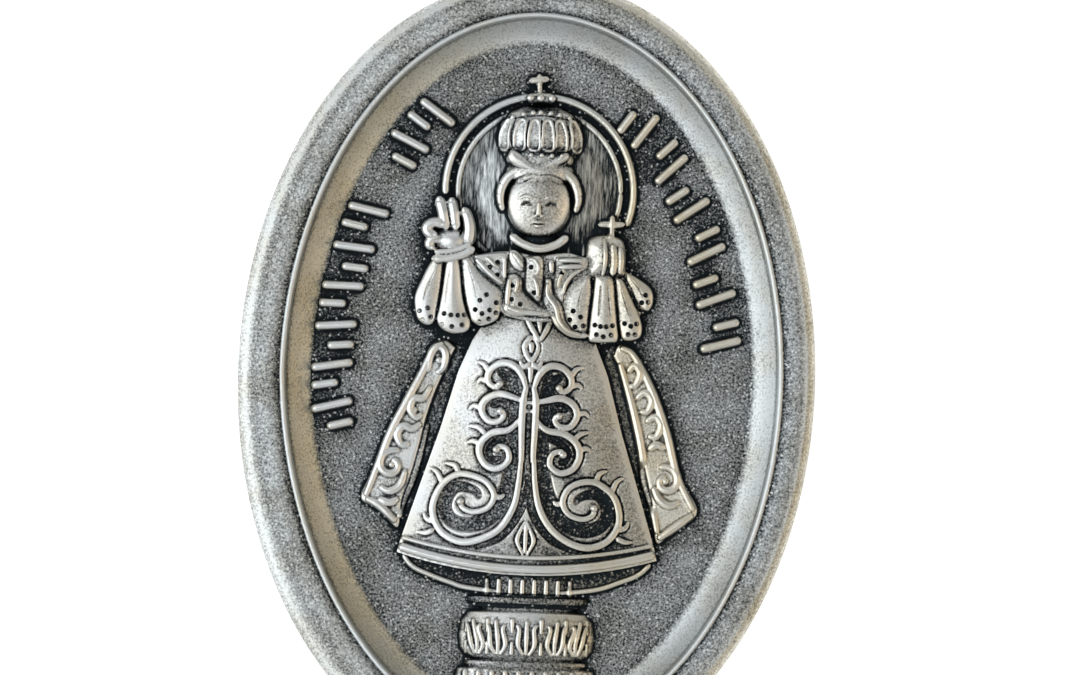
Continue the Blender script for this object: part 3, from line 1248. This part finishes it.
# Each row goes from one angle to another in so many steps, which may leave one step open
for start, end, places, gap in legend_rows:
    angles = np.radians(np.linspace(start, end, 400))
    line = np.array([oval_point(a, legend_middle) for a in angles])
    walked = np.concatenate([[0.0], np.cumsum(np.linalg.norm(np.diff(line, axis=0), axis=1))])
    for place in range(places):
        if place == gap:
            continue
        angle = np.interp(walked[-1] * place / (places - 1), walked, angles)
        shift = short_stroke_shift if len(strokes) % 4 else -short_stroke_shift
        for pattern, along, outward in (("long", -half_spacing, 0.0), ("short", half_spacing, shift)):
            foot = oval_point(angle, legend_middle - outward)
            out = (oval_point(angle, legend_middle - outward - 1) - foot).normalized()
            take_up(patterns[pattern])
            bpy.ops.object.duplicate(linked=False)
            copy = bpy.context.object
            copy.location = (foot.x - out.y * along, foot.y + out.x * along, field_level)
            copy.rotation_euler = (0.0, 0.0, math.atan2(out.y, out.x) - math.pi / 2 + stroke_lean)
            bpy.ops.object.transform_apply(location=True, rotation=True, scale=True)
            strokes.append(copy)
for pattern in patterns.values():
    bpy.data.objects.remove(pattern)
legend = fuse("legend_strokes", strokes, stroke_voxel, easing=1)
finish_relief(legend, relief_metal)

# The eye is a thick rounded ring cast on the top of the rim, with a small swelling where it meets
# it. The ring that the medal hangs from goes through it.
eye_hole = 1.05
eye_wall = 1.05
eye_thickness = 1.24
eye_sink = 0.75
eye_height = oval_height / 2 + eye_hole + eye_wall - eye_sink
eye_level = (field_level + rim_level - 0.15) / 2 + 0.06
eye_voxel = 0.06
neck_height = 12.15
neck_size = (1.6, 0.55, 0.62)
shoulder_height = 12.3
shoulder_x = 1.25
shoulder_size = (0.75, 0.5, 0.6)

bpy.ops.object.select_all(action="DESELECT")
bpy.ops.mesh.primitive_torus_add(
    major_segments=96,
    minor_segments=40,
    major_radius=eye_hole + eye_wall / 2,
    minor_radius=eye_wall / 2,
    location=(0.0, eye_height, eye_level),
)
eye_ring = bpy.context.object
eye_ring.scale = (1.0, 1.0, eye_thickness / eye_wall)
bpy.ops.object.transform_apply(location=True, rotation=True, scale=True)
eye_parts = [eye_ring]
for x, y, size in (
    (-shoulder_x, shoulder_height, shoulder_size),
    (shoulder_x, shoulder_height, shoulder_size),
    (0.0, neck_height, neck_size),
):
    bpy.ops.mesh.primitive_uv_sphere_add(
        segments=32, ring_count=16, radius=1.0, location=(x, y, eye_level), scale=size
    )
    eye_parts.append(bpy.context.object)
hanging_eye = fuse("hanging_eye", eye_parts, eye_voxel, easing=8)
take_up(hanging_eye)
reduce(hanging_eye)
bpy.ops.object.shade_smooth()
hanging_eye.data.materials.clear()
hanging_eye.data.materials.append(ground_metal)
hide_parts("medal")
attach(hanging_eye, "root")

# The soft studio light: a wide cool box from the left that models the relief, a dim warm one from the
# right, a dim one beyond the head and one below the foot, an even grey all round, and a plain pale floor.
cool_light = (0.94, 0.98, 1.0)
pale_light = (0.96, 0.98, 1.0)
warm_light = (1.0, 0.78, 0.52)
floor_gap = 0.00001
world = bpy.data.worlds.new("studio")
world.use_nodes = True
world.node_tree.nodes["Background"].inputs["Color"].default_value = (*cool_light, 1.0)
world.node_tree.nodes["Background"].inputs["Strength"].default_value = 0.27
bpy.context.scene.world = world
bpy.context.scene.view_settings.view_transform = "Standard"


def soft_box(name, place, width, height, power, colour):
    """A lamp with an even rectangular face, turned towards the medal."""
    lamp = bpy.data.lights.new(name, "AREA")
    lamp.shape = "RECTANGLE"
    lamp.size = width
    lamp.size_y = height
    lamp.energy = power
    lamp.color = colour
    box = bpy.data.objects.new(name, lamp)
    box.location = place
    box.rotation_euler = (-Vector(place)).to_track_quat("-Z", "Y").to_euler()
    bpy.context.collection.objects.link(box)


soft_box("key", (-0.8, -0.12, 0.72), width=1.1, height=1.9, power=9.2, colour=cool_light)
soft_box("fill", (0.9, -0.1, 0.6), width=0.8, height=1.2, power=2.2, colour=warm_light)
soft_box("head_light", (-0.1, 0.95, 0.6), width=1.6, height=0.8, power=1.5, colour=pale_light)
soft_box("foot_light", (0.1, -0.95, 0.6), width=1.6, height=0.8, power=1.5, colour=pale_light)

bpy.ops.object.select_all(action="DESELECT")
bpy.ops.mesh.primitive_plane_add(size=2.0, location=(0.0, 0.0, -floor_gap))
floor = bpy.context.object
floor.name = "floor"
paper = bpy.data.materials.new("floor_paper")
paper.use_nodes = True
paper_shader = paper.node_tree.nodes["Principled BSDF"]
paper_shader.inputs["Base Color"].default_value = (0.5, 0.5, 0.5, 1.0)
paper_shader.inputs["Roughness"].default_value = 0.9
paper_shader.inputs["Emission Color"].default_value = (1.0, 1.0, 1.0, 1.0)
paper_shader.inputs["Emission Strength"].default_value = 0.9
floor.data.materials.append(paper)

# The oxide and the rubbing. The finished medal is dipped, turns black all over and is rubbed back,
# so each point's darkness comes from how far it lies below, or stands above, what is round it. A
# brown cast is left where the cloth goes over less: the left of the cove and the medal's right half.
map_step = 0.04
map_left = -9.4
map_right = 9.4
map_bottom = -12.9
map_top = 16.3
map_ceiling = 5.0
relief_pieces = [blank, halo, mantle, pedestal, robe, cape, head, legend, hanging_eye]
corners = []
triangles = []
counted = 0
for piece in relief_pieces:
    piece.data.calc_loop_triangles()
    places = np.empty(len(piece.data.vertices) * 3)
    piece.data.vertices.foreach_get("co", places)
    faces = np.empty(len(piece.data.loop_triangles) * 3, dtype=np.int32)
    piece.data.loop_triangles.foreach_get("vertices", faces)
    corners.append(places.reshape(-1, 3) / life_size)
    triangles.append(faces.reshape(-1, 3) + counted)
    counted += len(piece.data.vertices)
tree = BVHTree.FromPolygons(np.vstack(corners).tolist(), np.vstack(triangles).tolist())
columns = np.arange(map_left, map_right, map_step)
rows = np.arange(map_bottom, map_top, map_step)
height_map = np.zeros((len(rows), len(columns)))
down = Vector((0.0, 0.0, -1.0))
for r, y in enumerate(rows):
    for c, x in enumerate(columns):
        hit = tree.ray_cast(Vector((x, y, map_ceiling)), down)[0]
        if hit is not None:
            height_map[r, c] = hit.z


def blurred(heights, reach):
    """The heights averaged over a soft round patch, its reach in millimetres."""
    across = np.fft.rfftfreq(heights.shape[1], map_step)
    along = np.fft.fftfreq(heights.shape[0], map_step)
    keep = np.exp(-2 * (math.pi * reach) ** 2 * (along[:, None] ** 2 + across[None, :] ** 2))
    return np.fft.irfft2(np.fft.rfft2(heights) * keep, heights.shape)


def read_map(heights, x, y):
    """The map's value at each place, between its four nearest points."""
    c = np.clip((x - columns[0]) / map_step, 0, len(columns) - 1.001)
    r = np.clip((y - rows[0]) / map_step, 0, len(rows) - 1.001)
    c0 = c.astype(int)
    r0 = r.astype(int)
    fc = c - c0
    fr = r - r0
    upper = heights[r0, c0] * (1 - fc) + heights[r0, c0 + 1] * fc
    lower = heights[r0 + 1, c0] * (1 - fc) + heights[r0 + 1, c0 + 1] * fc
    return upper * (1 - fr) + lower * fr


def spread(heights, reach):
    """The greatest height within a round reach of each point, in millimetres."""
    cells = int(reach / map_step)
    greatest = heights.copy()
    for r in range(-cells, cells + 1):
        for c in range(-cells, cells + 1):
            if 0 < r * r + c * c <= cells * cells:
                greatest = np.maximum(greatest, np.roll(heights, (r, c), (0, 1)))
    return greatest


wiping_reach = 0.4
corner_map = blurred(height_map, 0.05)
crest_map = blurred(height_map, 0.12)
shelter_map = blurred(height_map, 0.35)
wiped_map = -spread(-spread(height_map, wiping_reach), wiping_reach)
side_level = 0.4
cove_foot = field_level + 0.004
cove_head = cove_top_level + 0.1
form_levels = [field_level + rise for rise in (0.01, 0.06, 0.3, 0.75)]
blank_levels = [field_level, field_level + 0.06, cove_top_level, rim_level]
edge_levels = [rim_level - drop * front_rounding for drop in (1.0, 0.4, 0.1, 0.0)]
robe_waist = [foot_y + 530 * unit, foot_y + 560 * unit]
plate_y = foot_y + 163 * unit
plate_half = 12 * unit
pocket_shares = {mantle: 0.25, cape: 0.5, halo: 0.2, pedestal: 0.6}
for piece, places in zip(relief_pieces, corners):
    x, y, z = places.T
    shown = z > side_level

    # A thin dark line lies in each corner, and a softer shade fills each pocket between two forms
    corner = np.interp(read_map(corner_map, x, y) - z, [0.006, 0.036], [0.0, 1.0])
    pocket = np.interp(read_map(wiped_map, x, y) - z, [0.025, 0.095], [0.0, 1.0])
    pocket_share = pocket_shares.get(piece, 0.75)
    if piece is robe:
        pocket_share = np.interp(y, robe_waist, [0.75, 0.25])
    pocket = np.where(z < field_level + 0.08, 0.15, pocket_share) * pocket
    hollow = np.where(shown, np.maximum(corner, pocket), 0.15)
    shelter = np.where(shown, np.interp(read_map(shelter_map, x, y) - z, [0.0, 0.35], [0.0, 1.0]), 0.0)
    crest = np.where(shown, np.interp(z - read_map(crest_map, x, y), [0.0, 0.05], [0.0, 1.0]), 0.3)

    # The higher a form stands the cleaner it is rubbed, and the figure's right half is rubbed less
    remaining = np.interp(z, form_levels, [0.68, 0.55, 0.1, 0.0])
    cast = np.interp(x, [-0.5, 3.0], [0.0, 0.6])
    if piece in (head, cape, robe):
        remaining = remaining + np.interp(x, [-0.5, 3.0], [0.04, 0.38])
    if piece is head:
        remaining = remaining + 0.24
    if piece is halo:
        remaining = remaining + 0.2 + 0.035 * x
    if piece is mantle:
        remaining = remaining - np.where(x > 0, 0.3, 0.15)
    if piece is legend:
        remaining = remaining - 0.15

    # The cloth doesn't get at the plate under the robe, which stays nearly black
    if piece is pedestal:
        on_plate = np.abs(y - plate_y) < plate_half
        remaining = remaining + np.where(on_plate, 0.85, 0.0)
        crest = np.where(on_plate, 0.3, 1.0) * crest
        cast = np.interp(x, [0.5, 2.3], [0.1, 0.85])

    # The cove is wiped clean down to the field, and the rim and the eye keep a thin grey
    if piece in (blank, hanging_eye):
        on_rim = z > cove_head
        in_cove = (z > cove_foot) & ~on_rim
        hollow = np.where(on_rim, 0.4, np.where(in_cove, 0.1, 1.0)) * hollow
        shelter = np.where(z > cove_foot, 0.0, shelter)
        remaining = np.interp(z, blank_levels, [0.68, 0.06, 0.0, 0.64])
        remaining = remaining + np.where(on_rim, 0.012 * x - 0.5 * crest, 0.0)
    if piece is hanging_eye:
        remaining = np.maximum(remaining, 0.5)

    # On the left the rim's inner half and the cove under the bead are greyer, and the outer edge is
    # dark low down and to the right
    if piece is blank:
        share = 2 * np.hypot(x / oval_width, y / oval_height)
        outer_edge = share > np.interp(x, [-9.0, 0.0], [0.94, 0.972])
        inner_rim = np.interp(share, [0.86, 0.93], [0.18, 0.0]) * np.interp(x, [-7.0, 0.0], [1.0, 0.0])
        remaining = remaining + np.where(on_rim, (1 - crest) * inner_rim, 0.0)
        under_bead = np.interp(z, [cove_top_level - 0.1, cove_top_level], [0.0, 0.3])
        under_bead = under_bead * np.interp(x, [-6.0, 0.0], [1.0, 0.0])
        remaining = remaining + np.where(in_cove, under_bead, 0.0)
        on_edge = np.interp(z, edge_levels, [0.95, 0.88, 0.35, 0.6])
        on_edge = np.maximum(on_edge, np.interp(x, [0.0, 7.0], [0.0, 0.85]))
        remaining = np.where(outer_edge, on_edge, remaining)
        cast = np.where(in_cove, np.interp(x, [-4.8, 0.0], [0.8, 0.0]), 0.0)
        cast = np.where(outer_edge, np.interp(x, [-3.0, 6.0], [0.1, 0.7]), cast)

    layers = {"remaining": remaining, "hollow": hollow, "shelter": shelter, "crest": crest, "cast": cast}
    for label, values in layers.items():
        layer = piece.data.attributes.new(label, "FLOAT", "POINT")
        layer.data.foreach_set("value", values.astype(np.float32))
